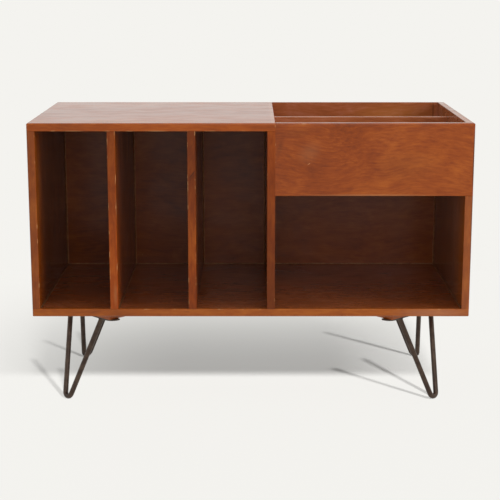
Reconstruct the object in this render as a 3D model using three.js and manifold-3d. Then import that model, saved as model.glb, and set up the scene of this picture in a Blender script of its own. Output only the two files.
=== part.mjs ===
// Record storage stand: a long, low cabinet of flush 18 mm boards on four hairpin legs.
// On the left three upright record bays stand under the top board. On the right an open-topped
// browsing bin, with a lengthways divider, hangs over an open cubby.
//
// Millimetres. X runs to the right, Y to the back and Z up. The origin is on the floor, under the
// middle of the cabinet.

import * as THREE from 'three';
import { mergeVertices } from 'three/addons/utils/BufferGeometryUtils.js';
import Module from 'manifold-3d';

const wasm = await Module();
wasm.setup();

// ---- Driving dimensions ---------------------------------------------------------------------------

// Cabinet
const CABINET_DEPTH = 480;
const CABINET_HEIGHT = 444; // underside of the bottom board to the rim
const BOARD = 18; // thickness of every carcass board
const BACK_THICKNESS = 6;
const BAY_COUNT = 3;
const BAY_WIDTH = 161; // clear width of one record bay
const CUBBY_WIDTH = 427; // clear width of the cubby and of the bin above it

// Browsing bin
const BIN_FRONT_HEIGHT = 164;
const BIN_FRONT_POCKET = 293; // clear depth between the bin front and the divider
const BIN_DIVIDER_DROP = 20; // the divider stops this far below the rim

// Joints between boards
const TONGUE_LENGTH = 5; // how far a tongue or a housed end goes into its groove
const BAREFACED_TONGUE = 9; // thickness of the tongues on the outer uprights
const TONGUE_STOP = 14; // grooves stop this far behind the front edge
const FLOOR_LAP = 6; // rebate in the bin front that takes the bin floor's front edge
const BACK_LAP = 9; // how far the back laps onto each board
const JOINT_CLEARANCE = 0.1; // glue space on each hidden face of a joint

// Softened edges
const OUTER_ROUND = 4; // outside corners of the cabinet
const BIN_LIP_ROUND = 2; // lower edge of the bin front
const ARRIS = 1; // edges that are only eased with abrasive paper

// Legs. Each one is set on the diagonal of its corner, and its setbacks are measured along it.
const LEG_HEIGHT = 218; // floor to the underside of the bottom board
const FOOT_SETBACK = 93; // cabinet corner to the point where the bend meets the floor
const CLEAT_SETBACK = 149.5; // cabinet corner to the outer face of the cleat and of the plate
const CLEAT_WIDTH = 50;
const CLEAT_THICKNESS = 19;
const PLATE_WIDTH = 26;
const PLATE_THICKNESS = 3;
const PLATE_OUTER_ROUND = 20; // corners on the plate's outer edge
const PLATE_INNER_ROUND = 2; // corners on its inner edge
const PLATE_OVERHANG = 8; // how far each end of the plate stands out past the cleat
const ROD_DIAMETER = 12;
const ROD_SPACING = 118; // between the two rods' centres, under the plate
const ROD_END_DISTANCE = 41.5; // rod centre to the nearer end of the plate
const ROD_EDGE_DISTANCE = 4.5; // rod centre to the plate's outer edge
const BEND_RADIUS = 11.5; // to the rod's centre line, at the foot
const BACK_LEG_INSET = 3; // the back legs stand this much nearer the middle than the front ones
const WELD_WIDTH = 2.6; // how far a weld bead stands out from its rod
const WELD_HEIGHT = 4;

// Leg screws
const SCREW_DIAMETER = 4.2;
const SCREW_HEAD_DIAMETER = 8.4;
const SCREW_HEAD_HEIGHT = 2.8;
const SCREW_POINT = 3.5; // length of the tapered end
const SCREW_COVER = 6; // wood left between a screw's tip and the bottom board
const SCREW_CLEARANCE = 0.4; // round the shank and past the tip, in the plate and in the pilot hole
const END_SCREW_INSET = 26; // plate's end to the outer screws
const INNER_SCREW_SPACING = 52; // between the two screws that sit between the rods

// Fineness of the round forms
const ROUND_STEPS = 3; // half the facets in a rounded edge
const CORNER_STEPS = 6; // half the facets in a plate's corner and in a screw hole
const ROD_SIDES = 16;
const BEND_STEPS = 12;
const SCREW_SIDES = 12;

// ---- Derived planes -------------------------------------------------------------------------------

const CABINET_WIDTH = 3 * BOARD + BAY_COUNT * BAY_WIDTH + (BAY_COUNT - 1) * BOARD + CUBBY_WIDTH;
const LEFT = -CABINET_WIDTH / 2;
const RIGHT = CABINET_WIDTH / 2;
const FRONT = -CABINET_DEPTH / 2;
const BACK = CABINET_DEPTH / 2;
const INNER_BACK = BACK - BACK_THICKNESS;
const UNDERSIDE = LEG_HEIGHT;
const DECK = UNDERSIDE + BOARD; // top face of the bottom board
const RIM = UNDERSIDE + CABINET_HEIGHT;
const CEILING = RIM - BOARD; // lower face of the top board
const PARTITION_RIGHT = RIGHT - BOARD - CUBBY_WIDTH;
const PARTITION_LEFT = PARTITION_RIGHT - BOARD;
const CUBBY_RIGHT = RIGHT - BOARD;
const BIN_BASE = RIM - BIN_FRONT_HEIGHT;
const BIN_DECK = BIN_BASE + BOARD; // top face of the bin floor
const BIN_INNER_FRONT = FRONT + BOARD;
const BIN_DIVIDER_FRONT = BIN_INNER_FRONT + BIN_FRONT_POCKET;

const CLEAT_BOTTOM = UNDERSIDE - CLEAT_THICKNESS;
const PLATE_BOTTOM = CLEAT_BOTTOM - PLATE_THICKNESS;
const PLATE_LENGTH = ROD_SPACING + 2 * ROD_END_DISTANCE;
const CLEAT_LENGTH = PLATE_LENGTH - 2 * PLATE_OVERHANG;
const SCREW_LENGTH = PLATE_THICKNESS + CLEAT_THICKNESS - SCREW_COVER; // under the head
const ROD_RADIUS = ROD_DIAMETER / 2;
const OVERSHOOT = 1; // cutters run this far past an open face

// ---- Materials ------------------------------------------------------------------------------------

const stainedBoard = () => new THREE.MeshStandardMaterial({ color: 0x8a4a27, roughness: 0.42, metalness: 0 });
const stainedPly = () => new THREE.MeshStandardMaterial({ color: 0x6d3a22, roughness: 0.55, metalness: 0 });
const bronzedSteel = () => new THREE.MeshStandardMaterial({ color: 0x3d332d, roughness: 0.4, metalness: 0.6 });
const screwSteel = () => new THREE.MeshStandardMaterial({ color: 0x2e2a28, roughness: 0.35, metalness: 0.8 });

// ---- Solids ---------------------------------------------------------------------------------------

function solidFrom(geometry) {
  const bare = geometry.clone();
  bare.deleteAttribute('normal');
  bare.deleteAttribute('uv');
  const merged = mergeVertices(bare, 1e-4);
  const vertProperties = new Float32Array(merged.attributes.position.array);
  const triVerts = new Uint32Array(merged.index.array);
  return new wasm.Manifold(new wasm.Mesh({ numProp: 3, vertProperties, triVerts }));
}

function geometryFrom(solid) {
  const mesh = solid.getMesh();
  const geometry = new THREE.BufferGeometry();
  geometry.setAttribute('position', new THREE.BufferAttribute(mesh.vertProperties, 3));
  geometry.setIndex(new THREE.BufferAttribute(mesh.triVerts, 1));
  geometry.computeVertexNormals();
  return geometry;
}

function named(name, solid, material) {
  const mesh = new THREE.Mesh(geometryFrom(solid), material);
  mesh.name = name;
  return mesh;
}

function block(low, high) {
  const size = high.map((value, axis) => value - low[axis]);
  const geometry = new THREE.BoxGeometry(...size);
  geometry.translate(...low.map((value, axis) => value + size[axis] / 2));
  return solidFrom(geometry);
}

// A rectangle whose corners are rounded one by one: low-low, high-low, high-high, low-high.
function roundedRectangle([x0, y0], [x1, y1], [r00, r10, r11, r01]) {
  const quarter = Math.PI / 2;
  const shape = new THREE.Shape();
  const corner = (x, y, radius, start) => {
    if (radius > 0) shape.absarc(x, y, radius, start, start + quarter, false);
    else shape.lineTo(x, y);
  };
  shape.moveTo(x0 + r00, y0);
  corner(x1 - r10, y0 + r10, r10, -quarter);
  corner(x1 - r11, y1 - r11, r11, 0);
  corner(x0 + r01, y1 - r01, r01, quarter);
  corner(x0 + r00, y0 + r00, r00, 2 * quarter);
  return shape;
}

// Sends a shape's x, y and its extrusion to the named directions of the cabinet.
const X = new THREE.Vector3(1, 0, 0);
const Y = new THREE.Vector3(0, 1, 0);
const Z = new THREE.Vector3(0, 0, 1);
const ALONG = {
  width: new THREE.Matrix4().makeBasis(Y, Z, X),
  depth: new THREE.Matrix4().makeBasis(X, Z, Y.clone().negate()),
  height: new THREE.Matrix4(),
};

function prism(shape, direction, from, to) {
  const options = { depth: to - from, bevelEnabled: false, curveSegments: ROUND_STEPS };
  const geometry = new THREE.ExtrudeGeometry(shape, options);
  geometry.translate(0, 0, direction === 'depth' ? -to : from);
  geometry.applyMatrix4(ALONG[direction]);
  return solidFrom(geometry);
}

// A board between two corners. `rounds` gives the radius of each softened edge, by the two faces
// that meet there.
function board(low, high, rounds) {
  const radius = (edge) => rounds[edge] ?? 0;
  const views = [
    { direction: 'height', across: 0, up: 1, edges: ['left front', 'right front', 'right back', 'left back'] },
    { direction: 'depth', across: 0, up: 2, edges: ['left bottom', 'right bottom', 'right top', 'left top'] },
    { direction: 'width', across: 1, up: 2, edges: ['front bottom', 'back bottom', 'back top', 'front top'] },
  ];
  const lengthAxis = { height: 2, depth: 1, width: 0 };
  let solid = block(low, high);
  for (const { direction, across, up, edges } of views) {
    const radii = edges.map(radius);
    if (radii.every((value) => value === 0)) continue;
    const shape = roundedRectangle([low[across], low[up]], [high[across], high[up]], radii);
    const axis = lengthAxis[direction];
    solid = solid.intersect(prism(shape, direction, low[axis] - OVERSHOOT, high[axis] + OVERSHOOT));
  }
  return solid;
}

// ---- Joints between boards ------------------------------------------------------------------------

// The uprights that stand in grooves. `tongue` is the part of the thickness that enters the groove.
const leftSideTongue = [LEFT + BOARD - BAREFACED_TONGUE, LEFT + BOARD];
const partitionTongue = [PARTITION_LEFT, PARTITION_LEFT + BAREFACED_TONGUE];
const rightSideTongue = [CUBBY_RIGHT, CUBBY_RIGHT + BAREFACED_TONGUE];
const dividerLeft = (index) => LEFT + BOARD + index * BAY_WIDTH + (index - 1) * BOARD;
const dividerTongue = (index) => [dividerLeft(index), dividerLeft(index) + BOARD];
const dividerIndices = Array.from({ length: BAY_COUNT - 1 }, (_, step) => step + 1);

function tongue([x0, x1], bottom, top) {
  return block([x0, FRONT + TONGUE_STOP, bottom], [x1, INNER_BACK, top]);
}

function groove([x0, x1], bottom, top) {
  const front = FRONT + TONGUE_STOP - JOINT_CLEARANCE;
  return block([x0 - JOINT_CLEARANCE, front, bottom], [x1 + JOINT_CLEARANCE, BACK + OVERSHOOT, top]);
}

const deckTongue = (range) => tongue(range, DECK - TONGUE_LENGTH, DECK + OVERSHOOT);
const ceilingTongue = (range) => tongue(range, CEILING - OVERSHOOT, CEILING + TONGUE_LENGTH);
const deckGroove = (range) => groove(range, DECK - TONGUE_LENGTH - JOINT_CLEARANCE, DECK + OVERSHOOT);
const ceilingGroove = (range) => groove(range, CEILING - OVERSHOOT, CEILING + TONGUE_LENGTH + JOINT_CLEARANCE);

// The back steps up where the top board ends, to reach the rim behind the bin.
function backShape(clearance, rim) {
  const x0 = LEFT + BOARD - BACK_LAP - clearance;
  const x1 = CUBBY_RIGHT + BACK_LAP + clearance;
  const z0 = DECK - BACK_LAP - clearance;
  const z1 = CEILING + BACK_LAP + clearance;
  const step = PARTITION_RIGHT + JOINT_CLEARANCE;
  const shape = new THREE.Shape();
  shape.moveTo(x0, z0);
  shape.lineTo(x1, z0);
  shape.lineTo(x1, rim);
  shape.lineTo(step, rim);
  shape.lineTo(step, z1);
  shape.lineTo(x0, z1);
  return shape;
}

const backRebate = () => prism(backShape(JOINT_CLEARANCE, RIM + OVERSHOOT), 'depth', INNER_BACK, BACK + OVERSHOOT);

// Housings for the bin floor and the bin divider, in the faces on either side of the bin.
function binHousings() {
  const x0 = PARTITION_RIGHT - TONGUE_LENGTH - JOINT_CLEARANCE;
  const x1 = CUBBY_RIGHT + TONGUE_LENGTH + JOINT_CLEARANCE;
  const floor = block(
    [x0, BIN_INNER_FRONT, BIN_BASE - JOINT_CLEARANCE],
    [x1, INNER_BACK + OVERSHOOT, BIN_DECK + JOINT_CLEARANCE],
  );
  const divider = block(
    [x0, BIN_DIVIDER_FRONT - JOINT_CLEARANCE, BIN_DECK - OVERSHOOT],
    [x1, BIN_DIVIDER_FRONT + BOARD + JOINT_CLEARANCE, RIM - BIN_DIVIDER_DROP],
  );
  return floor.add(divider);
}

// ---- Cabinet --------------------------------------------------------------------------------------

function bottomPanel() {
  let solid = board([LEFT, FRONT, UNDERSIDE], [RIGHT, BACK, DECK], {
    'front bottom': OUTER_ROUND,
    'front top': ARRIS,
    'left front': OUTER_ROUND,
    'right front': OUTER_ROUND,
    'left bottom': OUTER_ROUND,
    'right bottom': OUTER_ROUND,
    'back bottom': ARRIS,
    'left back': ARRIS,
    'right back': ARRIS,
  });
  const tongues = [leftSideTongue, ...dividerIndices.map(dividerTongue), partitionTongue, rightSideTongue];
  for (const range of tongues) solid = solid.subtract(deckGroove(range));
  return named('bottom_panel', solid.subtract(backRebate()), stainedBoard());
}

function topPanel() {
  let solid = board([LEFT, FRONT, CEILING], [PARTITION_RIGHT, BACK, RIM], {
    'front top': OUTER_ROUND,
    'front bottom': ARRIS,
    'left front': OUTER_ROUND,
    'left top': OUTER_ROUND,
    'right top': BIN_LIP_ROUND,
    'back top': ARRIS,
    'left back': ARRIS,
  });
  const tongues = [leftSideTongue, ...dividerIndices.map(dividerTongue), partitionTongue];
  for (const range of tongues) solid = solid.subtract(ceilingGroove(range));
  return named('top_panel', solid.subtract(backRebate()), stainedBoard());
}

function leftSidePanel() {
  const solid = board([LEFT, FRONT, DECK], [LEFT + BOARD, BACK, CEILING], {
    'left front': OUTER_ROUND,
    'right front': ARRIS,
    'left back': ARRIS,
  });
  const tongued = solid.add(deckTongue(leftSideTongue)).add(ceilingTongue(leftSideTongue));
  return named('left_side_panel', tongued.subtract(backRebate()), stainedBoard());
}

function rightSidePanel() {
  const solid = board([CUBBY_RIGHT, FRONT, DECK], [RIGHT, BACK, RIM], {
    'right front': OUTER_ROUND,
    'left front': ARRIS,
    'right back': ARRIS,
    'right top': OUTER_ROUND,
    'left top': ARRIS,
    'back top': ARRIS,
  });
  const lapForBinFront = block(
    [CUBBY_RIGHT - OVERSHOOT, FRONT - OVERSHOOT, BIN_BASE],
    [RIGHT + OVERSHOOT, BIN_INNER_FRONT, RIM + OVERSHOOT],
  );
  const tongued = solid.add(deckTongue(rightSideTongue)).subtract(lapForBinFront);
  return named('right_side_panel', tongued.subtract(binHousings()).subtract(backRebate()), stainedBoard());
}

function slotDivider(index) {
  const x = dividerLeft(index);
  const easedFront = { 'left front': ARRIS, 'right front': ARRIS };
  const range = dividerTongue(index);
  const solid = board([x, FRONT, DECK], [x + BOARD, INNER_BACK, CEILING], easedFront);
  return named(`slot_divider_${index}`, solid.add(deckTongue(range)).add(ceilingTongue(range)), stainedBoard());
}

function centrePartition() {
  const solid = board([PARTITION_LEFT, FRONT, DECK], [PARTITION_RIGHT, INNER_BACK, CEILING], {
    'left front': ARRIS,
  });
  const tongued = solid.add(deckTongue(partitionTongue)).add(ceilingTongue(partitionTongue));
  return named('centre_partition', tongued.subtract(binHousings()), stainedBoard());
}

function backPanel() {
  return named('back_panel', prism(backShape(0, RIM), 'depth', INNER_BACK, BACK), stainedPly());
}

// ---- Browsing bin ---------------------------------------------------------------------------------

function binFrontPanel() {
  const solid = board([PARTITION_RIGHT, FRONT, BIN_BASE], [RIGHT, BIN_INNER_FRONT, RIM], {
    'front top': OUTER_ROUND,
    'back top': ARRIS,
    'front bottom': BIN_LIP_ROUND,
    'right front': OUTER_ROUND,
    'right top': OUTER_ROUND,
  });
  const floorRebate = block(
    [PARTITION_RIGHT - OVERSHOOT, BIN_INNER_FRONT - FLOOR_LAP - JOINT_CLEARANCE, BIN_BASE - OVERSHOOT],
    [CUBBY_RIGHT + JOINT_CLEARANCE, BIN_INNER_FRONT + OVERSHOOT, BIN_DECK + JOINT_CLEARANCE],
  );
  return named('bin_front_panel', solid.subtract(floorRebate), stainedBoard());
}

function binFloorPanel() {
  const housed = block(
    [PARTITION_RIGHT - TONGUE_LENGTH, BIN_INNER_FRONT + JOINT_CLEARANCE, BIN_BASE],
    [CUBBY_RIGHT + TONGUE_LENGTH, INNER_BACK, BIN_DECK],
  );
  const frontLap = block(
    [PARTITION_RIGHT, BIN_INNER_FRONT - FLOOR_LAP, BIN_BASE],
    [CUBBY_RIGHT, BIN_INNER_FRONT + OVERSHOOT, BIN_DECK],
  );
  return named('bin_floor_panel', housed.add(frontLap), stainedBoard());
}

function binDivider() {
  const low = [PARTITION_RIGHT - TONGUE_LENGTH, BIN_DIVIDER_FRONT, BIN_DECK];
  const high = [
    CUBBY_RIGHT + TONGUE_LENGTH,
    BIN_DIVIDER_FRONT + BOARD,
    RIM - BIN_DIVIDER_DROP - JOINT_CLEARANCE,
  ];
  return named('bin_divider', board(low, high, { 'front top': ARRIS, 'back top': ARRIS }), stainedBoard());
}

// ---- Hairpin legs ---------------------------------------------------------------------------------
// One leg is modelled with its cabinet corner at the origin, the cleat's length along X and the
// diagonal towards the middle of the cabinet along +Y.

const screwPlaces = [
  [-PLATE_LENGTH / 2 + END_SCREW_INSET, PLATE_WIDTH / 2],
  [PLATE_LENGTH / 2 - END_SCREW_INSET, PLATE_WIDTH / 2],
  [-INNER_SCREW_SPACING / 2, PLATE_WIDTH / 2],
  [INNER_SCREW_SPACING / 2, PLATE_WIDTH / 2],
].map(([x, y]) => new THREE.Vector2(x, CLEAT_SETBACK + y));

// The centre line of the bent rod: straight, round the foot, and straight again. It lies in a
// plane that leans from the foot in to the plate. `across` and `up` are measured in that plane,
// from the lowest point of the bend.
class HairpinCurve extends THREE.Curve {
  constructor() {
    super();
    this.foot = new THREE.Vector3(0, FOOT_SETBACK, ROD_RADIUS);
    const head = new THREE.Vector3(0, CLEAT_SETBACK + ROD_EDGE_DISTANCE, PLATE_BOTTOM);
    this.up = head.sub(this.foot);
    this.reach = this.up.length();
    this.up.normalize();
    const toBendCentre = Math.hypot(ROD_SPACING / 2, this.reach - BEND_RADIUS);
    const slant = Math.atan2(this.reach - BEND_RADIUS, ROD_SPACING / 2);
    this.tangentAngle = slant - Math.acos(BEND_RADIUS / toBendCentre);
    this.overrun = 1 + ROD_DIAMETER / this.reach; // the rods run past the plate, to be cut off flush
  }

  place(across, up) {
    return this.foot.clone().addScaledVector(X, across).addScaledVector(this.up, up);
  }

  // Stations 0 and the last are the rods' ends. Those between run round the bend.
  getPoint(t) {
    const station = t * (BEND_STEPS + 2);
    const turn = THREE.MathUtils.clamp((station - 1) / BEND_STEPS, 0, 1);
    const angle = Math.PI - this.tangentAngle + turn * (Math.PI + 2 * this.tangentAngle);
    const across = BEND_RADIUS * Math.cos(angle);
    const up = BEND_RADIUS * (1 + Math.sin(angle));
    const beyond = Math.max(1 - station, station - (BEND_STEPS + 1), 0) * this.overrun;
    const headAcross = Math.sign(across) * (ROD_SPACING / 2);
    return this.place(across + (headAcross - across) * beyond, up + (this.reach - up) * beyond);
  }

  getPointAt(u) {
    return this.getPoint(u);
  }

  getTangentAt(u, target = new THREE.Vector3()) {
    const nudge = 0.25 / (BEND_STEPS + 2);
    const before = this.getPoint(Math.max(u - nudge, 0));
    const after = this.getPoint(Math.min(u + nudge, 1));
    return target.subVectors(after, before).normalize();
  }
}

function hairpinLeg(name) {
  const outline = Array.from({ length: ROD_SIDES }, (_, side) => {
    const angle = (side * 2 * Math.PI) / ROD_SIDES;
    return new THREE.Vector2(ROD_RADIUS * Math.cos(angle), ROD_RADIUS * Math.sin(angle));
  });
  const options = { steps: BEND_STEPS + 2, extrudePath: new HairpinCurve() };
  let solid = solidFrom(new THREE.ExtrudeGeometry(new THREE.Shape(outline), options));
  const headY = CLEAT_SETBACK + ROD_EDGE_DISTANCE;
  for (const side of [-1, 1]) solid = solid.add(weldBead(side * (ROD_SPACING / 2), headY));
  const abovePlate = block(
    [-ROD_SPACING, 0, PLATE_BOTTOM],
    [ROD_SPACING, 2 * CLEAT_SETBACK, UNDERSIDE + ROD_SPACING],
  );
  return named(name, solid.subtract(abovePlate), bronzedSteel());
}

// A fillet of weld round the top of a rod, stopping at the plate's outer edge.
function weldBead(x, y) {
  const outer = ROD_RADIUS + WELD_WIDTH;
  const profile = [
    new THREE.Vector2(0, -WELD_HEIGHT),
    new THREE.Vector2(ROD_RADIUS, -WELD_HEIGHT),
    new THREE.Vector2(outer - WELD_WIDTH / 3, -WELD_HEIGHT / 2),
    new THREE.Vector2(outer, 0),
    new THREE.Vector2(outer, OVERSHOOT),
    new THREE.Vector2(0, OVERSHOOT),
  ];
  const geometry = new THREE.LatheGeometry(profile, ROD_SIDES);
  geometry.rotateX(Math.PI / 2);
  geometry.translate(x, y, PLATE_BOTTOM);
  const beyondPlate = block(
    [x - 2 * outer, CLEAT_SETBACK - 2 * outer, PLATE_BOTTOM - 2 * WELD_HEIGHT],
    [x + 2 * outer, CLEAT_SETBACK, UNDERSIDE],
  );
  return solidFrom(geometry).subtract(beyondPlate);
}

// A flat steel strip. Its outer corners are cut to a large round, and the inner ones only eased.
function legPlate(name) {
  const low = [-PLATE_LENGTH / 2, CLEAT_SETBACK];
  const high = [PLATE_LENGTH / 2, CLEAT_SETBACK + PLATE_WIDTH];
  const radii = [PLATE_OUTER_ROUND, PLATE_OUTER_ROUND, PLATE_INNER_ROUND, PLATE_INNER_ROUND];
  const shape = roundedRectangle(low, high, radii);
  const holeRadius = SCREW_DIAMETER / 2 + SCREW_CLEARANCE;
  for (const place of screwPlaces) {
    shape.holes.push(new THREE.Path().absarc(place.x, place.y, holeRadius, 0, 2 * Math.PI, true));
  }
  const options = { depth: PLATE_THICKNESS, bevelEnabled: false, curveSegments: CORNER_STEPS };
  const geometry = new THREE.ExtrudeGeometry(shape, options);
  geometry.translate(0, 0, PLATE_BOTTOM);
  return named(name, solidFrom(geometry), bronzedSteel());
}

function legCleat(name) {
  const low = [-CLEAT_LENGTH / 2, CLEAT_SETBACK, CLEAT_BOTTOM];
  const high = [CLEAT_LENGTH / 2, CLEAT_SETBACK + CLEAT_WIDTH, UNDERSIDE];
  let solid = board(low, high, {
    'left front': ARRIS,
    'right front': ARRIS,
    'right back': ARRIS,
    'left back': ARRIS,
  });
  const holeDepth = SCREW_LENGTH - PLATE_THICKNESS + SCREW_CLEARANCE;
  const holeRadius = SCREW_DIAMETER / 2 + SCREW_CLEARANCE;
  for (const place of screwPlaces) {
    const hole = new THREE.CylinderGeometry(holeRadius, holeRadius, holeDepth + OVERSHOOT, SCREW_SIDES);
    hole.rotateX(Math.PI / 2);
    hole.translate(place.x, place.y, CLEAT_BOTTOM + (holeDepth - OVERSHOOT) / 2);
    solid = solid.subtract(solidFrom(hole));
  }
  return named(name, solid, stainedBoard());
}

// A pan-head screw, head down, driven up through the plate into the cleat.
function legScrew(name, place) {
  const headRadius = SCREW_HEAD_DIAMETER / 2;
  const shankRadius = SCREW_DIAMETER / 2;
  const profile = [
    [0, -SCREW_HEAD_HEIGHT],
    [headRadius * 0.55, -SCREW_HEAD_HEIGHT * 0.94],
    [headRadius * 0.88, -SCREW_HEAD_HEIGHT * 0.66],
    [headRadius, -SCREW_HEAD_HEIGHT * 0.2],
    [headRadius, 0],
    [shankRadius, 0],
    [shankRadius, SCREW_LENGTH - SCREW_POINT],
    [0, SCREW_LENGTH],
  ].map(([radius, along]) => new THREE.Vector2(radius, along));
  const geometry = new THREE.LatheGeometry(profile, SCREW_SIDES);
  geometry.rotateX(Math.PI / 2);
  geometry.translate(place.x, place.y, PLATE_BOTTOM);
  return named(name, solidFrom(geometry), screwSteel());
}

// The four corners, and how far a leg turns to point its diagonal at the middle of the cabinet.
const corners = [
  { where: 'front_left', x: LEFT, y: FRONT, turn: -Math.PI / 4 },
  { where: 'front_right', x: RIGHT, y: FRONT, turn: Math.PI / 4 },
  { where: 'back_left', x: LEFT + BACK_LEG_INSET, y: BACK, turn: (-3 * Math.PI) / 4 },
  { where: 'back_right', x: RIGHT - BACK_LEG_INSET, y: BACK, turn: (3 * Math.PI) / 4 },
];

function legAt({ where, x, y, turn }) {
  const leg = new THREE.Group();
  leg.add(legCleat(`leg_cleat_${where}`));
  leg.add(legPlate(`leg_plate_${where}`));
  leg.add(hairpinLeg(`hairpin_leg_${where}`));
  screwPlaces.forEach((place, index) => leg.add(legScrew(`leg_screw_${where}_${index + 1}`, place)));
  leg.position.set(x, y, 0);
  leg.rotation.z = turn;
  return leg;
}

// ---- Assembly -------------------------------------------------------------------------------------

const cabinet = new THREE.Group();
cabinet.add(bottomPanel(), topPanel(), leftSidePanel(), rightSidePanel());
cabinet.add(...dividerIndices.map(slotDivider), centrePartition(), backPanel());
cabinet.add(binFrontPanel(), binFloorPanel(), binDivider());

const stand = new THREE.Group();
stand.add(cabinet, ...corners.map(legAt));

export default stand;
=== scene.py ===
"""Record storage stand: stained boards on hairpin legs, photographed in a pale studio.

Metres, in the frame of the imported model: +X to the right, +Y to the back, +Z up, floor at z = 0.
"""

import math

import bmesh
import bpy
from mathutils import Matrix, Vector


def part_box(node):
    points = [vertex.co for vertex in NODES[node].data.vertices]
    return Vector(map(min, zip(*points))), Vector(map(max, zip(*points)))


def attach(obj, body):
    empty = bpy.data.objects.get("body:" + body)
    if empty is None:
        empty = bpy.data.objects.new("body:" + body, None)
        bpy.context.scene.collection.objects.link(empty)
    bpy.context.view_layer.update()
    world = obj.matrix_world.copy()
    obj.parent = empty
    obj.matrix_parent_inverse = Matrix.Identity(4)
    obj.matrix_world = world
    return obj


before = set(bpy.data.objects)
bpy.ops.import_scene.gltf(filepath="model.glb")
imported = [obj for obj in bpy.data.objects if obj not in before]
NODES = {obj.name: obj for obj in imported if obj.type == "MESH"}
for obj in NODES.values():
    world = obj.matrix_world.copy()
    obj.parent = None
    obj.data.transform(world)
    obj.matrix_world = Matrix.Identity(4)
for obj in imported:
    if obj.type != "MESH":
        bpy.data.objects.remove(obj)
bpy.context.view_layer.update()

MM = 0.001

# ---- Places taken from the frame ------------------------------------------------------------------

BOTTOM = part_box("bottom_panel")
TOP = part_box("top_panel")
BACK_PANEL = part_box("back_panel")
BIN_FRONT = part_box("bin_front_panel")
RIGHT_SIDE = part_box("right_side_panel")
DIVIDER_1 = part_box("slot_divider_1")
DIVIDER_2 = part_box("slot_divider_2")
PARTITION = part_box("centre_partition")

LEFT = BOTTOM[0].x
RIGHT = BOTTOM[1].x
FRONT = BOTTOM[0].y
BACK = BOTTOM[1].y
UNDERSIDE = BOTTOM[0].z
DECK = BOTTOM[1].z
CEILING = TOP[0].z
RIM = TOP[1].z
BOARD = DECK - UNDERSIDE
INNER_BACK = BACK_PANEL[0].y
BIN_BASE = BIN_FRONT[0].z
BIN_DECK = BIN_BASE + BOARD
PARTITION_RIGHT = PARTITION[1].x
CUBBY_RIGHT = RIGHT_SIDE[0].x

# Left and right wall of each record bay, and of the cubby
BAYS = [
    (LEFT + BOARD, DIVIDER_1[0].x),
    (DIVIDER_1[1].x, DIVIDER_2[0].x),
    (DIVIDER_2[1].x, PARTITION[0].x),
]
CUBBY = (PARTITION_RIGHT, CUBBY_RIGHT)

# ---- Photograph -----------------------------------------------------------------------------------

CAMERA_PLACE = Vector((-0.0017, -3.1596, 0.9948))
CAMERA_DOWN = math.radians(12.0)
CAMERA_LENS = 94.79
SENSOR_WIDTH = 36.0

PAPER = (0.905, 0.896, 0.863)  # the studio's pale background

# ---- Nodes ----------------------------------------------------------------------------------------

BEND_SCALE = 5.0
MIDDLE = (0.3, 0.7)  # the span that a noise mostly stays in


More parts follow.
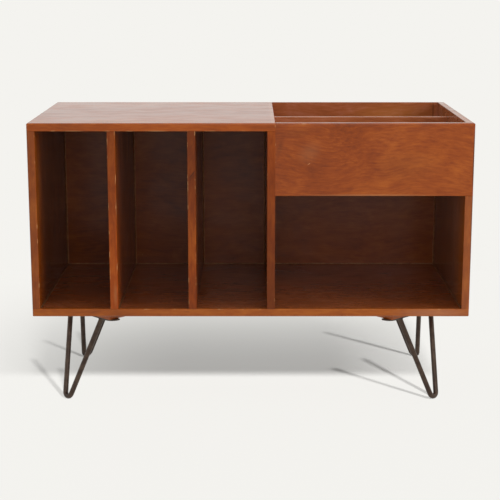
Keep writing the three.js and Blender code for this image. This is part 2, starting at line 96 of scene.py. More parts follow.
class Nodes:
    """Adds shader nodes to one tree, and joins whatever socket is passed as an input."""

    def __init__(self, tree):
        self.tree = tree
        tree.nodes.clear()

    def add(self, kind, inputs=None, **settings):
        node = self.tree.nodes.new(kind)
        for key, value in settings.items():
            setattr(node, key, value)
        for key, value in (inputs or {}).items():
            self.put(node.inputs[key], value)
        return node

    def put(self, socket, value):
        if isinstance(value, bpy.types.NodeSocket):
            self.tree.links.new(value, socket)
        elif socket.type == "RGBA" and len(value) == 3:
            socket.default_value = (*value, 1.0)
        else:
            socket.default_value = value

    def math(self, operation, first, second=0.0, third=0.0, clamp=False):
        inputs = {0: first, 1: second, 2: third}
        return self.add("ShaderNodeMath", inputs, operation=operation, use_clamp=clamp).outputs[0]

    def ease(self, value, low, high, low_out=0.0, high_out=1.0):
        """A smooth step from low_out to high_out."""
        inputs = {"Value": value, "From Min": low, "From Max": high, "To Min": low_out, "To Max": high_out}
        return self.add("ShaderNodeMapRange", inputs, interpolation_type="SMOOTHSTEP").outputs["Result"]

    def noise(self, vector, scale, detail=3.0, roughness=0.55, distortion=0.0):
        inputs = {
            "Vector": vector,
            "Scale": scale,
            "Detail": detail,
            "Roughness": roughness,
            "Distortion": distortion,
        }
        return self.add("ShaderNodeTexNoise", inputs).outputs["Fac"]

    def place(self, stretch=(1.0, 1.0, 1.0), offset=(0.0, 0.0, 0.0), bend=0.0):
        """The point in the row frame, stretched and moved. bend waves it by about that many metres."""
        point = self.add("ShaderNodeTexCoord").outputs["Object"]
        if bend:
            inputs = {"Vector": point, "Scale": BEND_SCALE, "Detail": 1.0}
            wave = self.add("ShaderNodeTexNoise", inputs).outputs["Color"]
            inputs = {0: wave, 1: (-0.5, -0.5, -0.5)}
            centred = self.add("ShaderNodeVectorMath", inputs, operation="ADD").outputs["Vector"]
            inputs = {0: centred, 1: (2 * bend, 2 * bend, 2 * bend), 2: point}
            point = self.add("ShaderNodeVectorMath", inputs, operation="MULTIPLY_ADD").outputs["Vector"]
        inputs = {"Vector": point, "Location": offset, "Scale": stretch}
        return self.add("ShaderNodeMapping", inputs).outputs["Vector"]

    def coordinates(self):
        """The point's own x, y and z in the row frame."""
        return self.add("ShaderNodeSeparateXYZ", {"Vector": self.place()}).outputs

    def blend(self, factor, first, second, blend_type="MIX"):
        node = self.add("ShaderNodeMix", data_type="RGBA", blend_type=blend_type)
        self.put(node.inputs["Factor"], factor)
        self.put(node.inputs["A"], first)
        self.put(node.inputs["B"], second)
        return node.outputs["Result"]

    def multiply(self, colour, tint):
        return self.blend(1.0, colour, tint, "MULTIPLY")

    def grey(self, value):
        return self.add("ShaderNodeCombineColor", {0: value, 1: value, 2: value}).outputs["Color"]

    def ramp(self, factor, stops):
        node = self.add("ShaderNodeValToRGB", {"Fac": factor})
        elements = node.color_ramp.elements
        while len(elements) < len(stops):
            elements.new(0.5)
        for element, (position, colour) in zip(elements, stops):
            element.position = position
            element.color = (*colour, 1.0)
        return node.outputs["Color"]

    def bump(self, height, strength, distance):
        inputs = {"Height": height, "Strength": strength, "Distance": distance}
        return self.add("ShaderNodeBump", inputs).outputs["Normal"]

    def finish(self, **inputs):
        """Ends a material in one Principled shader, with an underscore for each space in a name."""
        named = {key.replace("_", " "): value for key, value in inputs.items()}
        shader = self.add("ShaderNodeBsdfPrincipled", named)
        self.add("ShaderNodeOutputMaterial", {"Surface": shader.outputs["BSDF"]})


def new_material(name):
    material = bpy.data.materials.new(name)
    material.use_nodes = True
    return material, Nodes(material.node_tree)


# ---- Painted light and shade inside the carcass ---------------------------------------------------

# Painted light and shade: what the stain is multiplied by on the faces that look into the bays, the cubby
# and the bin
WALL_PAINTED_LIGHT = (0.95, 1.60, 13.0)
BACK_PAINTED_LIGHT = (1.02, 1.10, 2.0)
DECK_PAINTED_LIGHT = (1.02, 1.08, 4.6)
BIN_PAINTED_LIGHT = (1.22, 1.80, 13.0)

MARGIN = 1 * MM
# DEEP_INSIDE is where the painted light and shade on the inner faces stops changing.
DEEP_INSIDE = 0.40  # metres behind the front where the inner faces stop changing in tone


def within(nodes, *tests):
    """1 where every test holds. A test is a value, GREATER_THAN or LESS_THAN, and a limit."""
    mask = 1.0
    for value, sense, limit in tests:
        mask = nodes.math("MULTIPLY", nodes.math(sense, value, limit), mask)
    return mask


def inside_carcass(nodes, sets_in):
    """Two masks: the faces that look into the bays and the cubby, and those that look into the bin."""
    x, y, z = nodes.coordinates()
    half = BOARD / 2
    within_outer_faces = within(
        nodes,
        (x, "GREATER_THAN", LEFT + half),
        (x, "LESS_THAN", RIGHT - half),
        (z, "GREATER_THAN", UNDERSIDE + half),
        (z, "LESS_THAN", RIM - half),
        (y, "LESS_THAN", BACK - MARGIN),
    )
    in_bin = within(
        nodes,
        (x, "GREATER_THAN", PARTITION_RIGHT - half),
        (x, "LESS_THAN", RIGHT - half),
        (z, "GREATER_THAN", BIN_DECK + MARGIN),
        (y, "GREATER_THAN", FRONT + half),
        (y, "LESS_THAN", BACK - MARGIN),
    )
    behind_edges = nodes.math("MULTIPLY", within_outer_faces, nodes.ease(y, FRONT, FRONT + sets_in))
    inside = nodes.math("MULTIPLY", behind_edges, nodes.math("SUBTRACT", 1.0, in_bin))
    return inside, in_bin


def shade_by_place(nodes, colour, fade, depth, inside_painted_light, inside, in_bin):
    """The slow changes: paler or darker down the board, and painted light and shade into the carcass and
    in the bin.
    """
    _, y, z = nodes.coordinates()
    top, bottom = fade
    colour = nodes.multiply(colour, nodes.grey(nodes.ease(z, DECK, CEILING, bottom, top)))
    # Painted light and shade on the inner faces: darker or lighter from the front to deep inside, then
    # tinted.
    front, deep = depth
    inward = nodes.grey(nodes.ease(y, FRONT, FRONT + DEEP_INSIDE, front, deep))
    painted_inside = nodes.multiply(nodes.multiply(colour, inside_painted_light), inward)
    colour = nodes.blend(inside, colour, painted_inside)
    return nodes.blend(in_bin, colour, nodes.multiply(colour, BIN_PAINTED_LIGHT))


# ---- Marks ----------------------------------------------------------------------------------------
# The single marks that the photograph shows on the boards, painted highlights and shade among them. Their
# places are metres in the row frame.

# The pale paint serves chips, wear and painted highlights; the dark one serves scored lines, figure,
# painted shade and painted shadow.
CHIP_AND_HIGHLIGHT = (0.50, 0.25, 0.10)
DARK_MARK_AND_SHADE = (0.045, 0.010, 0.002)
PALE_END = (0.55, 0.35, 0.25)
PAINTED_HIGHLIGHT = (0.70, 0.29, 0.05)


def mark(x, z, width, height, paint, strength, tilt=0.0, soft=0.6, y=FRONT, depth=4 * MM):
    """An elliptical mark: its middle, its half sizes, and the soft share of its radius."""
    return {
        "centre": (x, y, z),
        "sizes": (width, depth, height),
        "paint": paint,
        "strength": strength,
        "tilt": math.radians(tilt),
        "soft": soft,
    }


def add_mark(nodes, colour, centre, sizes, paint, strength, tilt, soft):
    """Paints one mark, turned by tilt in the plane of the front faces."""
    inputs = {"Vector": nodes.place(), "Location": centre, "Rotation": (0.0, tilt, 0.0), "Scale": sizes}
    local = nodes.add("ShaderNodeMapping", inputs, vector_type="TEXTURE").outputs["Vector"]
    reach = nodes.add("ShaderNodeVectorMath", {0: local}, operation="LENGTH").outputs["Value"]
    return nodes.blend(nodes.ease(reach, 1.0 - soft, 1.0, strength, 0.0), colour, paint)


def top_marks():
    """Worn stretches of the lower front edge, and a darker left end."""
    return [
        mark(-0.396, CEILING, 30 * MM, 1.6 * MM, CHIP_AND_HIGHLIGHT, 0.7, depth=3 * MM),
        mark(-0.208, CEILING, 30 * MM, 1.6 * MM, CHIP_AND_HIGHLIGHT, 0.7, depth=3 * MM),
        mark(-0.27, CEILING, 12 * MM, 1.4 * MM, CHIP_AND_HIGHLIGHT, 0.6, depth=3 * MM),
        mark(-0.42, 0.653, 130 * MM, 14 * MM, DARK_MARK_AND_SHADE, 0.2, soft=0.95),
    ]


def bottom_marks():
    """A chip in the middle bay's floor, and a paler right end."""
    return [
        mark(-0.185, DECK, 3 * MM, 2 * MM, CHIP_AND_HIGHLIGHT, 0.35, y=-0.165, depth=2 * MM),
        mark(0.42, 0.227, 120 * MM, 16 * MM, PALE_END, 0.14, soft=0.9, depth=6 * MM),
    ]


def right_side_marks():
    """Painted shade along the rounded outer arris."""
    return [mark(RIGHT, 0.44, 3.4 * MM, 230 * MM, DARK_MARK_AND_SHADE, 0.75, soft=0.5, depth=6 * MM)]


def bin_front_marks():
    """A scratch, a chipped rim, curved figure, a painted highlight on the lip, painted shade on the outer
    arris and two broad patches.
    """
    return [
        mark(0.130, 0.571, 4.5 * MM, 0.6 * MM, CHIP_AND_HIGHLIGHT, 0.8, tilt=-38.0, soft=0.4),
        mark(0.118, RIM - 1.5 * MM, 6 * MM, 1 * MM, CHIP_AND_HIGHLIGHT, 0.6, soft=0.5),
        mark(0.085, 0.588, 18 * MM, 5 * MM, DARK_MARK_AND_SHADE, 0.22, tilt=35.0, soft=0.9),
        mark(0.105, 0.613, 20 * MM, 4 * MM, DARK_MARK_AND_SHADE, 0.18, tilt=20.0, soft=0.9),
        mark(0.064, 0.604, 10 * MM, 34 * MM, DARK_MARK_AND_SHADE, 0.30, tilt=16.0, soft=0.95),
        mark(0.100, 0.640, 55 * MM, 12 * MM, DARK_MARK_AND_SHADE, 0.18, tilt=-4.0, soft=0.95),
        # A painted highlight along the lower edge.
        mark(0.270, BIN_BASE + 2 * MM, 200 * MM, 3 * MM, CHIP_AND_HIGHLIGHT, 0.25, soft=0.8),
        # Painted shade along the rounded outer arris.
        mark(RIGHT, 0.58, 4.2 * MM, 110 * MM, DARK_MARK_AND_SHADE, 0.85, soft=0.5, depth=6 * MM),
        mark(0.34, 0.565, 120 * MM, 50 * MM, DARK_MARK_AND_SHADE, 0.16, tilt=-5.0, soft=0.95),
        mark(0.13, 0.595, 40 * MM, 30 * MM, CHIP_AND_HIGHLIGHT, 0.10, tilt=-40.0, soft=0.95),
    ]


def divider_1_marks():
    """A chip and a worn stretch on the right arris, and a paler foot."""
    right = DIVIDER_1[1].x
    return [
        mark(right, 0.541, 1.2 * MM, 10 * MM, CHIP_AND_HIGHLIGHT, 0.85, tilt=3.0, soft=0.5),
        mark(right, 0.47, 1 * MM, 30 * MM, CHIP_AND_HIGHLIGHT, 0.5, soft=0.7),
        mark(right - 6 * MM, 0.27, 6 * MM, 40 * MM, CHIP_AND_HIGHLIGHT, 0.18, soft=0.9),
    ]


def divider_2_marks():
    """A scored line with its shadow, slanting figure above it, and a worn stretch on the left arris."""
    middle = -0.1313
    return [
        mark(middle, 0.547, 14 * MM, 1.7 * MM, DARK_MARK_AND_SHADE, 0.95, tilt=-52.0, soft=0.5),
        mark(middle, 0.541, 14 * MM, 4 * MM, DARK_MARK_AND_SHADE, 0.45, tilt=-52.0, soft=0.9),
        mark(middle, 0.585, 14 * MM, 3 * MM, DARK_MARK_AND_SHADE, 0.35, tilt=-55.0, soft=0.9),
        mark(middle, 0.612, 14 * MM, 2.5 * MM, DARK_MARK_AND_SHADE, 0.30, tilt=-55.0, soft=0.9),
        mark(DIVIDER_2[0].x, 0.50, 1 * MM, 40 * MM, CHIP_AND_HIGHLIGHT, 0.5, soft=0.7),
    ]


def back_marks():
    """A chip in the middle bay. In the bin, a dark line at the right end and a painted highlight before
    it.
    """
    return [
        mark(-0.285, 0.262, 1.6 * MM, 1.6 * MM, CHIP_AND_HIGHLIGHT, 0.5, y=INNER_BACK, depth=2 * MM),
        mark(0.470, 0.630, 3 * MM, 60 * MM, DARK_MARK_AND_SHADE, 0.55, soft=0.8, y=INNER_BACK, depth=2 * MM),
        # A painted highlight on the bin's back wall.
        mark(0.36, 0.61, 160 * MM, 70 * MM, PAINTED_HIGHLIGHT, 0.22, soft=0.95, y=INNER_BACK, depth=2 * MM),
    ]


# ---- Wood -----------------------------------------------------------------------------------------

STAIN_DARK = (0.110, 0.017, 0.0010)
STAIN_MID = (0.240, 0.044, 0.0020)
STAIN_LIGHT = (0.37, 0.090, 0.0075)
STAIN_STOPS = ((0.0, STAIN_DARK), (0.5, STAIN_MID), (1.0, STAIN_LIGHT))
BARE_WOOD = (0.56, 0.30, 0.12)
WARMING = (0.10, 0.35, 0.5)  # how much full warmth lifts red, green and blue
VARNISH_IOR = 1.35

# How far the pattern is drawn out along the grain, and its blotches
GRAIN_STRETCH = 0.13
BLOTCH_STRETCH = 0.45
SEED_STEP = (0.37, 0.71, 0.53)  # metres that one seed moves the pattern

# The stain's noises, from fine to broad, and their weights
FIBRES = {"scale": 520.0, "detail": 3.0, "roughness": 0.6}
THREADS = {"scale": 230.0, "detail": 3.0, "roughness": 0.6, "distortion": 0.4}
STREAKS = {"scale": 85.0, "detail": 3.0, "roughness": 0.6, "distortion": 0.8}
BLOTCHES = {"scale": 24.0, "detail": 4.0, "roughness": 0.6, "distortion": 1.0}
DRIFT = {"scale": 5.0, "detail": 2.0}
FIBRE_WEIGHT = 0.22
THREAD_WEIGHT = 0.55
STREAK_WEIGHT = 0.42
BLOTCH_WEIGHT = 0.62
DRIFT_WEIGHT = 0.60

FLECKS = {"scale": 190.0, "detail": 2.0, "roughness": 0.7}
FLECK_SPAN = (0.64, 0.76)
FLECK_STRENGTH = 0.40

# Bare wood shows along the edges, in patches
WEAR_FULL = 0.2 * MM
WEAR_WIDTH = 2.2 * MM
WEAR_PATCHES = {"scale": 38.0, "detail": 4.0, "roughness": 0.65}
WEAR_SPAN = (0.62, 0.74)
WEAR_GAIN = 0.10
WEAR_STRENGTH = 0.65

SHEEN = {"scale": 24.0, "detail": 2.0}
PORE_STRENGTH = 0.12
PORE_DEPTH = 0.2 * MM


def edge_distance(nodes, box):
    """Distance of a surface point to the nearest edge of the board's box."""
    low, high = box
    place = nodes.coordinates()
    gaps = []
    for axis in range(3):
        from_low = nodes.math("SUBTRACT", place[axis], low[axis])
        from_high = nodes.math("SUBTRACT", high[axis], place[axis])
        gaps.append(nodes.math("MINIMUM", from_low, from_high))
    first, second, third = gaps
    lesser = nodes.math("MINIMUM", first, second)
    greater = nodes.math("MAXIMUM", first, second)
    return nodes.math("MAXIMUM", lesser, nodes.math("MINIMUM", greater, third))


def along_grain(grain, stretch):
    """A scale that draws the pattern out along one axis."""
    scale = [1.0, 1.0, 1.0]
    scale["XYZ".index(grain)] = stretch
    return scale


def stain(nodes, fibres, fine, broad, crispness, figure):
    """The stain's colour, before it is tinted. fine and broad are the places that its noises read."""
    layers = (
        (fibres, FIBRE_WEIGHT * crispness),
        (nodes.noise(fine, **THREADS), THREAD_WEIGHT * crispness),
        (nodes.noise(fine, **STREAKS), STREAK_WEIGHT),
        (nodes.noise(broad, **BLOTCHES), BLOTCH_WEIGHT * figure),
        (nodes.noise(broad, **DRIFT), DRIFT_WEIGHT * figure),
    )
    total = 0.0
    for layer, weight in layers:
        centred = nodes.math("SUBTRACT", layer, 0.5)
        total = nodes.math("MULTIPLY_ADD", centred, weight, total)
    colour = nodes.ramp(nodes.math("ADD", total, 0.5, clamp=True), STAIN_STOPS)
    flecks = nodes.ease(nodes.noise(fine, **FLECKS), *FLECK_SPAN, 0.0, FLECK_STRENGTH)
    return nodes.blend(flecks, colour, STAIN_DARK)


def worn_edges(nodes, box, offset, wear, inside, in_bin):
    """Where the stain is rubbed off the outer edges."""
    near_edge = nodes.ease(edge_distance(nodes, box), WEAR_FULL, WEAR_WIDTH, 1.0, 0.0)
    patches = nodes.noise(nodes.place(offset=offset), **WEAR_PATCHES)
    low, high = (limit - WEAR_GAIN * wear for limit in WEAR_SPAN)
    rubbed = nodes.ease(patches, low, high)
    outside = nodes.math("SUBTRACT", 1.0, nodes.math("MAXIMUM", inside, in_bin))
    worn = nodes.math("MULTIPLY", nodes.math("MULTIPLY", near_edge, rubbed), outside)
    return nodes.math("MULTIPLY", worn, WEAR_STRENGTH)


def wood(
    name,
    box,
    grain,
    seed,
    tone=1.0,
    warmth=0.0,
    wear=0.5,
    figure=1.0,
    crispness=1.0,
    gloss=(0.16, 0.26),
    fade=(1.0, 1.0),
    depth=(1.0, 1.0),
    inside_painted_light=WALL_PAINTED_LIGHT,
    sets_in=0.14,
    ior=VARNISH_IOR,
    bend=0.015,
    marks=(),
):
    """Stained board. grain is the axis that its fibres follow.

    tone and warmth set the stain, figure and crispness the strength of its broad and fine pattern.
    gloss is the least and greatest roughness, fade the tone at the ceiling and at the deck, and depth
    the painted light and shade of the inner faces at the front and deep inside. The inner faces'
    painted light and shade is complete sets_in metres behind the front.
    """
    material, nodes = new_material(name)
    offset = tuple(step * seed for step in SEED_STEP)
    fine = nodes.place(along_grain(grain, GRAIN_STRETCH), offset, bend)
    broad = nodes.place(along_grain(grain, BLOTCH_STRETCH), offset, bend)
    fibres = nodes.noise(fine, **FIBRES)
    inside, in_bin = inside_carcass(nodes, sets_in)

    colour = stain(nodes, fibres, fine, broad, crispness, figure)
    colour = nodes.multiply(colour, [tone * (1.0 + share * warmth) for share in WARMING])
    colour = shade_by_place(nodes, colour, fade, depth, inside_painted_light, inside, in_bin)
    worn = worn_edges(nodes, box, offset, wear, inside, in_bin)
    colour = nodes.blend(worn, colour, BARE_WOOD)
    for look in marks:
        colour = add_mark(nodes, colour, **look)

    nodes.finish(
        Base_Color=colour,
        Roughness=nodes.ease(nodes.noise(broad, **SHEEN), *MIDDLE, *gloss),
        IOR=ior,
        Normal=nodes.bump(fibres, PORE_STRENGTH, PORE_DEPTH),
    )
    return material


# The depth and the inner tint of each board are painted light and shade on its inner faces.
BOARDS = {
    "top_panel": {
        "grain": "X",
        "seed": 1,
        "tone": 1.08,
        "warmth": 0.15,
        "wear": 0.9,
        "figure": 0.8,
        "gloss": (0.12, 0.2),
        "bend": 0.006,
        "ior": 1.33,
        "marks": top_marks(),
    },
    "bottom_panel": {
        "grain": "X",
        "seed": 2,
        "warmth": 0.95,
        "depth": (0.66, 1.2),
        "inside_painted_light": DECK_PAINTED_LIGHT,
        "sets_in": 0.012,
        "marks": bottom_marks(),
    },
    "left_side_panel": {
        "grain": "Z",
        "seed": 3,
        "tone": 0.78,
        "warmth": 0.4,
        "wear": 0.6,
        "figure": 1.5,
        "depth": (0.74, 1.12),
    },
    "right_side_panel": {
        "grain": "Z",
        "seed": 4,
        "tone": 0.86,
        "warmth": 0.8,
        "wear": 0.3,
        "figure": 1.2,
        "depth": (0.74, 0.94),
        "ior": 1.42,
        "marks": right_side_marks(),
    },
    "slot_divider_1": {
        "grain": "Z",
        "seed": 5,
        "tone": 0.95,
        "warmth": -0.2,
        "wear": 0.9,
        "figure": 1.8,
        "crispness": 1.2,
        "fade": (0.72, 1.22),
        "ior": 1.28,
        "marks": divider_1_marks(),
    },
    "slot_divider_2": {
        "grain": "Z",
        "seed": 6,
        "tone": 0.75,
        "warmth": -0.2,
        "wear": 0.8,
        "figure": 2.0,
        "crispness": 1.6,
        "fade": (0.72, 1.22),
        "ior": 1.28,
        "marks": divider_2_marks(),
    },
    "centre_partition": {
        "grain": "Z",
        "seed": 7,
        "tone": 0.64,
        "warmth": -0.3,
        "wear": 0.2,
        "figure": 1.4,
        "fade": (1.35, 0.70),
        "ior": 1.28,
    },
    "bin_front_panel": {
        "grain": "X",
        "seed": 8,
        "tone": 0.92,
        "warmth": -0.1,
        "wear": 0.0,
        "figure": 1.35,
        "crispness": 1.5,
        "bend": 0.03,
        "marks": bin_front_marks(),
    },
    "bin_floor_panel": {"grain": "X", "seed": 9, "wear": 0.3, "inside_painted_light": DECK_PAINTED_LIGHT},
    "bin_divider": {"grain": "X", "seed": 10, "tone": 1.1, "warmth": 0.5},
    "back_panel": {
        "grain": "X",
        "seed": 11,
        "tone": 0.92,
        "wear": 0.0,
        "figure": 1.3,
        "fade": (1.02, 0.9),
        "inside_painted_light": BACK_PAINTED_LIGHT,
        "ior": 1.28,
        "marks": back_marks(),
    },
}
CLEAT = {"grain": "X", "tone": 1.3, "warmth": 0.9, "wear": 0.2}
CLEAT_SEED = 20  # the cleats' seeds start above the boards' ones

# ---- Steel ----------------------------------------------------------------------------------------

BRONZE = (0.036, 0.020, 0.013)
BRONZE_LIGHT = (0.078, 0.050, 0.033)
LACQUER_CLOUDS = {"scale": 55.0, "detail": 4.0, "roughness": 0.6}
LACQUER_SPAN = (0.35, 0.75)
LACQUER_ROUGHNESS = (0.28, 0.42)
LACQUER_METALLIC = 0.55
LACQUER_OFFSET = (0.7, 1.4, 2.1)  # metres that the pattern moves from one piece to the next
GRIT = {"scale": 900.0, "detail": 2.0}
GRIT_STRENGTH = 0.15
GRIT_DEPTH = 0.15 * MM

SCREW_BLACK = (0.030, 0.027, 0.025)
SCUFFS = {"scale": 700.0, "detail": 3.0, "roughness": 0.7}
SCUFF_SPAN = (0.45, 0.7)
SCREW_ROUGHNESS = (0.3, 0.5)
SCREW_METALLIC = 0.85


def lacquered_steel(name, index):
    """Dark bronze lacquer, cloudy and a little gritty."""
    material, nodes = new_material(name)
    place = nodes.place(offset=[step * index for step in LACQUER_OFFSET])
    cloud = nodes.noise(place, **LACQUER_CLOUDS)
    nodes.finish(
        Base_Color=nodes.blend(nodes.ease(cloud, *LACQUER_SPAN), BRONZE, BRONZE_LIGHT),
        Metallic=LACQUER_METALLIC,
        Roughness=nodes.ease(cloud, *MIDDLE, *LACQUER_ROUGHNESS),
        Normal=nodes.bump(nodes.noise(place, **GRIT), GRIT_STRENGTH, GRIT_DEPTH),
    )
    return material


def screw_steel(name):
    """Blackened steel, scuffed bright here and there."""
    material, nodes = new_material(name)
    scuffs = nodes.noise(nodes.place(), **SCUFFS)
    nodes.finish(
        Base_Color=nodes.blend(nodes.ease(scuffs, *SCUFF_SPAN), SCREW_BLACK, BRONZE_LIGHT),
        Metallic=SCREW_METALLIC,
        Roughness=nodes.ease(scuffs, *MIDDLE, *SCREW_ROUGHNESS),
    )
    return material


# ---- Dressing the CAD nodes -----------------------------------------------------------------------

SMOOTH_BELOW = math.radians(34.0)


def smooth_faces(piece):
    """Shades the round edges smooth and keeps the flat faces flat."""
    piece.data.polygons.foreach_set("use_smooth", [True] * len(piece.data.polygons))
    for name in ("custom_normal", "sharp_edge"):
        attribute = piece.data.attributes.get(name)
        if attribute:
            piece.data.attributes.remove(attribute)
    weld = piece.modifiers.new("weld", "WELD")
    weld.merge_threshold = 0.005 * MM
    split = piece.modifiers.new("split", "EDGE_SPLIT")
    split.split_angle = SMOOTH_BELOW
    weighted = piece.modifiers.new("weighted", "WEIGHTED_NORMAL")
    weighted.mode = "FACE_AREA"
    weighted.weight = 100


def dress(node_name, material):
    piece = NODES[node_name]
    piece.data.materials.clear()
    piece.data.materials.append(material)
    smooth_faces(piece)


def dress_cabinet():
    for name, look in BOARDS.items():
        dress(name, wood(name + "_stain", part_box(name), **look))


def dress_legs():
    screws = screw_steel("screw_steel")
    for index, name in enumerate(sorted(NODES)):
        if name.startswith("leg_cleat"):
            dress(name, wood(name + "_stain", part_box(name), seed=CLEAT_SEED + index, **CLEAT))
        elif name.startswith(("leg_plate", "hairpin_leg")):
            dress(name, lacquered_steel(name + "_lacquer", index))
        elif name.startswith("leg_screw"):
            dress(name, screws)


# ---- Glue lines -----------------------------------------------------------------------------------
# A thin fillet of glue, paler than the stain, runs round the back and along some floor corners.

GLUE_REACH = 2.8 * MM
GLUE_STEPS = 4
GLUE_FRONT_GAP = 12 * MM
GLUE_DARK = (0.22, 0.076, 0.028)
GLUE_LIGHT = (0.36, 0.16, 0.065)
GLUE_PATCHES = {"scale": 90.0, "detail": 4.0, "roughness": 0.7}
# The glue darkens from the back towards the front.
GLUE_AT_FRONT = 0.35  # what is left of the glue's colour at the front
GLUE_ROUGHNESS = 0.5


def glue_colour():
    material, nodes = new_material("glue_line")
    patches = nodes.noise(nodes.place(), **GLUE_PATCHES)
    colour = nodes.blend(nodes.ease(patches, *MIDDLE), GLUE_DARK, GLUE_LIGHT)
    _, y, _ = nodes.coordinates()
    colour = nodes.multiply(colour, nodes.grey(nodes.ease(y, FRONT, INNER_BACK, GLUE_AT_FRONT, 1.0)))
    nodes.finish(Base_Color=colour, Roughness=GLUE_ROUGHNESS, IOR=VARNISH_IOR)
    return material


def add_fillet(mesh, start, end, side, up):
    """A hollow fillet along a corner. side and up point away from the corner along its faces."""
    rings = []
    for base in (start, end):
        ring = [base]
        for step in range(GLUE_STEPS + 1):
            angle = math.pi / 2 * step / GLUE_STEPS
            reach = (1 - math.sin(angle)) * side + (1 - math.cos(angle)) * up
            ring.append(base + GLUE_REACH * reach)
        rings.append([mesh.verts.new(point) for point in ring])
    first, last = rings
    for index in range(len(first)):
        after = (index + 1) % len(first)
        mesh.faces.new((first[index], first[after], last[after], last[index]))
    mesh.faces.new(list(reversed(first)))
    mesh.faces.new(last)


def glue_round(name, walls, ceiling, floor_corners, material):
    """The fillets of one opening: round its back, and along the floor at the named walls."""
    right, up, forward = Vector((1, 0, 0)), Vector((0, 0, 1)), Vector((0, -1, 0))
    wall_x = dict(zip(("left", "right"), walls))
    toward = {"left": right, "right": -right}
    mesh = bmesh.new()
    for height, sense in ((DECK, up), (ceiling, -up)):
        ends = [Vector((x, INNER_BACK, height)) for x in walls]
        add_fillet(mesh, *ends, forward, sense)
    for side, x in wall_x.items():
        ends = [Vector((x, INNER_BACK, height)) for height in (DECK, ceiling)]
        add_fillet(mesh, *ends, toward[side], forward)
    for side in floor_corners:
        ends = [Vector((wall_x[side], y, DECK)) for y in (FRONT + GLUE_FRONT_GAP, INNER_BACK)]
        add_fillet(mesh, *ends, toward[side], up)
    bmesh.ops.recalc_face_normals(mesh, faces=mesh.faces)
    add_piece(name, mesh, material)


def add_piece(name, mesh, material):
    """Turns a bmesh into a piece of the stand."""
    data = bpy.data.meshes.new(name)
    mesh.to_mesh(data)
    mesh.free()
    data.materials.append(material)
    piece = bpy.data.objects.new(name, data)
    bpy.context.scene.collection.objects.link(piece)
    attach(piece, "root")


def glue_lines():
    """Every bay but the last has a floor fillet at its left wall, and the cubby has one at its right."""
    material = glue_colour()
    for number, walls in enumerate(BAYS, start=1):
        floor_corners = ["left"] if number < len(BAYS) else []
        glue_round(f"glue_line_bay_{number}", walls, CEILING, floor_corners, material)
    glue_round("glue_line_cubby", CUBBY, BIN_BASE, ["right"], material)


# ---- Studio ---------------------------------------------------------------------------------------

AMBIENT = 0.62
FLOOR_ALBEDO = 0.05
FLOOR_REACH = 80.0

# Shadows on the floor come from suns that light the floor alone. They share one slope to the
# back, so that the cabinet's shadow has a crisp front edge. Their slopes to the left differ, so
# that its right end fades as in the photograph. Each sun is its slope to the left and its weight.
SUN_BACK_SLOPE = 1.18
CABINET_SHADOW = 0.54  # share of the floor's brightness that the cabinet takes away
LEG_SHADOW = 0.36
LEG_SUN_SLOPE = 0.68
LEG_SUN_SOFTNESS = math.radians(3.6)
CABINET_SUN_SOFTNESS = math.radians(6.5)
STEEP_SUN_SLOPE = 0.18
STRIP_LOW = 0.30
STRIP_HIGH = 1.25
STRIP_COUNT = 12
STRIP_SHARE = 0.58
STRIP_STEP = (STRIP_HIGH - STRIP_LOW) / (STRIP_COUNT - 1)
CABINET_SUNS = [(STEEP_SUN_SLOPE, 1.0 - STRIP_SHARE)]
CABINET_SUNS += [
    (STRIP_LOW + STRIP_STEP * index, STRIP_SHARE / STRIP_COUNT)
    for index in range(STRIP_COUNT)
]

# Where the shadow starts to fade out and is gone, in metres to the back and to the left
FADE_BACK = (0.06, 1.15)
FADE_LEFT = (0.15, 1.06)


def studio_world():
    """Even light, which the camera and gloss see as bright as the paper."""
    world = bpy.data.worlds.new("studio")
    bpy.context.scene.world = world
    world.use_nodes = True
    nodes = Nodes(world.node_tree)
    path = nodes.add("ShaderNodeLightPath")
    seen = nodes.math("MAXIMUM", path.outputs["Is Camera Ray"], path.outputs["Is Glossy Ray"])
    seen = nodes.math("MAXIMUM", seen, path.outputs["Is Transmission Ray"])
    strength = nodes.ease(seen, 0.0, 1.0, AMBIENT, 1.0)
    sky = nodes.add("ShaderNodeBackground", {"Color": PAPER, "Strength": strength})
    nodes.add("ShaderNodeOutputWorld", {"Surface": sky.outputs["Background"]})


def floor_material():
    """Paper that glows, mixed with paper that the suns light, which is where shadows show."""
    material, nodes = new_material("studio_floor")
    x, y, _ = nodes.coordinates()
    shade = nodes.ease(y, *FADE_BACK, 1.0, 0.0)
    to_left = nodes.ease(nodes.math("MULTIPLY", x, -1.0), *FADE_LEFT, 1.0, 0.0)
    shade = nodes.math("MULTIPLY", shade, to_left)
    shade = nodes.math("MULTIPLY", shade, CABINET_SHADOW + LEG_SHADOW)
    glow = nodes.add("ShaderNodeEmission", {"Color": PAPER, "Strength": 1.0})
    lit = nodes.add("ShaderNodeBsdfDiffuse", {"Color": [FLOOR_ALBEDO * value for value in PAPER]})
    both = nodes.add("ShaderNodeMixShader", {0: shade, 1: glow.outputs[0], 2: lit.outputs[0]})
    nodes.add("ShaderNodeOutputMaterial", {"Surface": both.outputs[0]})
    return material


def studio_floor():
    mesh = bpy.data.meshes.new("floor")
    corners = [(x * FLOOR_REACH, y * FLOOR_REACH, 0) for x, y in ((-1, -1), (1, -1), (1, 1), (-1, 1))]
    mesh.from_pydata(corners, [], [(0, 1, 2, 3)])
    mesh.materials.append(floor_material())
    floor = bpy.data.objects.new("floor", mesh)
    bpy.context.scene.collection.objects.link(floor)
    return floor


def add_lamp(name, kind, energy, direction, place=Vector()):
    data = bpy.data.lights.new(name, kind)
    data.energy = energy
    lamp = bpy.data.objects.new(name, data)
    lamp.location = place
    lamp.rotation_euler = direction.to_track_quat("-Z", "Y").to_euler()
    bpy.context.scene.collection.objects.link(lamp)
    return lamp


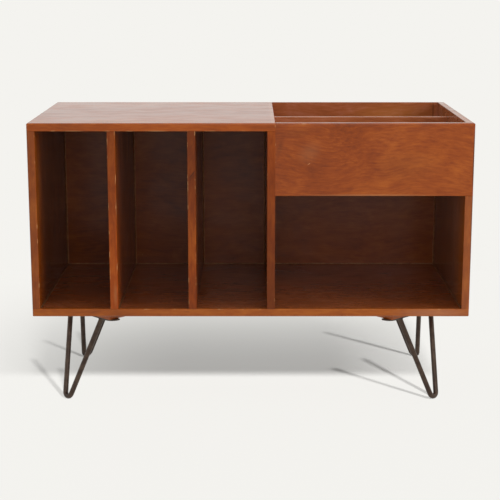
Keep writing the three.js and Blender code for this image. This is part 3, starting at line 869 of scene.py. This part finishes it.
def group(name, members):
    collection = bpy.data.collections.new(name)
    for member in members:
        collection.objects.link(member)
    return collection


def add_sun(name, slope, share, softness, receivers, blockers):
    """A sun that gives one share of the floor's brightness, where nothing blocks it."""
    direction = Vector((-slope, SUN_BACK_SLOPE, -1.0))
    squareness = 1.0 / direction.length
    sun = add_lamp(name, "SUN", math.pi * share / FLOOR_ALBEDO / squareness, direction)
    sun.data.angle = softness
    sun.light_linking.receiver_collection = receivers
    sun.light_linking.blocker_collection = blockers


def suns(floor):
    """One sun casts the hairpins' shadows, and the others cast the cabinet's."""
    receivers = group("floor_only", [floor])
    hairpins = [piece for name, piece in NODES.items() if name.startswith("hairpin_")]
    others = [piece for name, piece in NODES.items() if not name.startswith("hairpin_")]
    legs, cabinet = group("legs", hairpins), group("cabinet", others)
    by_suns = (1.0 - FLOOR_ALBEDO * AMBIENT) / (CABINET_SHADOW + LEG_SHADOW)
    add_sun("leg_sun", LEG_SUN_SLOPE, LEG_SHADOW * by_suns, LEG_SUN_SOFTNESS, receivers, legs)
    for index, (slope, weight) in enumerate(CABINET_SUNS):
        share = CABINET_SHADOW * weight * by_suns
        add_sun(f"cabinet_sun_{index}", slope, share, CABINET_SUN_SOFTNESS, receivers, cabinet)


# Soft boxes round the stand: place, power in watts, and whether gloss shows them. Those that it
# does not show would glare on the rounded rims. None of them lights the floor.
SOFTBOX_SIZE = (1.8, 1.4)
SOFTBOX_AIM = Vector((0.0, 0.0, 0.44))
SOFTBOXES = {
    "front_softbox": (Vector((0.4, -3.6, 1.5)), 16.0, True),
    "high_front_softbox": (Vector((0.3, -2.0, 2.6)), 5.0, False),
    "top_softbox": (Vector((0.0, -0.4, 2.9)), 20.0, False),
    "right_softbox": (Vector((3.0, -1.2, 1.4)), 73.0, False),
    "left_softbox": (Vector((-3.0, -1.2, 1.4)), 7.0, True),
}


def softboxes(floor):
    all_but_floor = group("all_but_floor", [floor])
    all_but_floor.collection_objects[0].light_linking.link_state = "EXCLUDE"
    for name, (place, power, in_gloss) in SOFTBOXES.items():
        softbox = add_lamp(name, "AREA", power, SOFTBOX_AIM - place, place)
        softbox.data.shape = "RECTANGLE"
        softbox.data.size, softbox.data.size_y = SOFTBOX_SIZE
        softbox.light_linking.receiver_collection = all_but_floor
        softbox.visible_glossy = in_gloss


def camera():
    data = bpy.data.cameras.new("camera")
    data.lens = CAMERA_LENS
    data.sensor_width = SENSOR_WIDTH
    data.clip_end = 2 * FLOOR_REACH
    view = bpy.data.objects.new("camera", data)
    view.location = CAMERA_PLACE
    view.rotation_euler = (math.pi / 2 - CAMERA_DOWN, 0.0, 0.0)
    bpy.context.scene.collection.objects.link(view)
    bpy.context.scene.camera = view


# ---- Making ---------------------------------------------------------------------------------------

camera()
studio_world()
FLOOR = studio_floor()
suns(FLOOR)
softboxes(FLOOR)
dress_cabinet()
dress_legs()
glue_lines()

bpy.context.scene.view_settings.view_transform = "Standard"
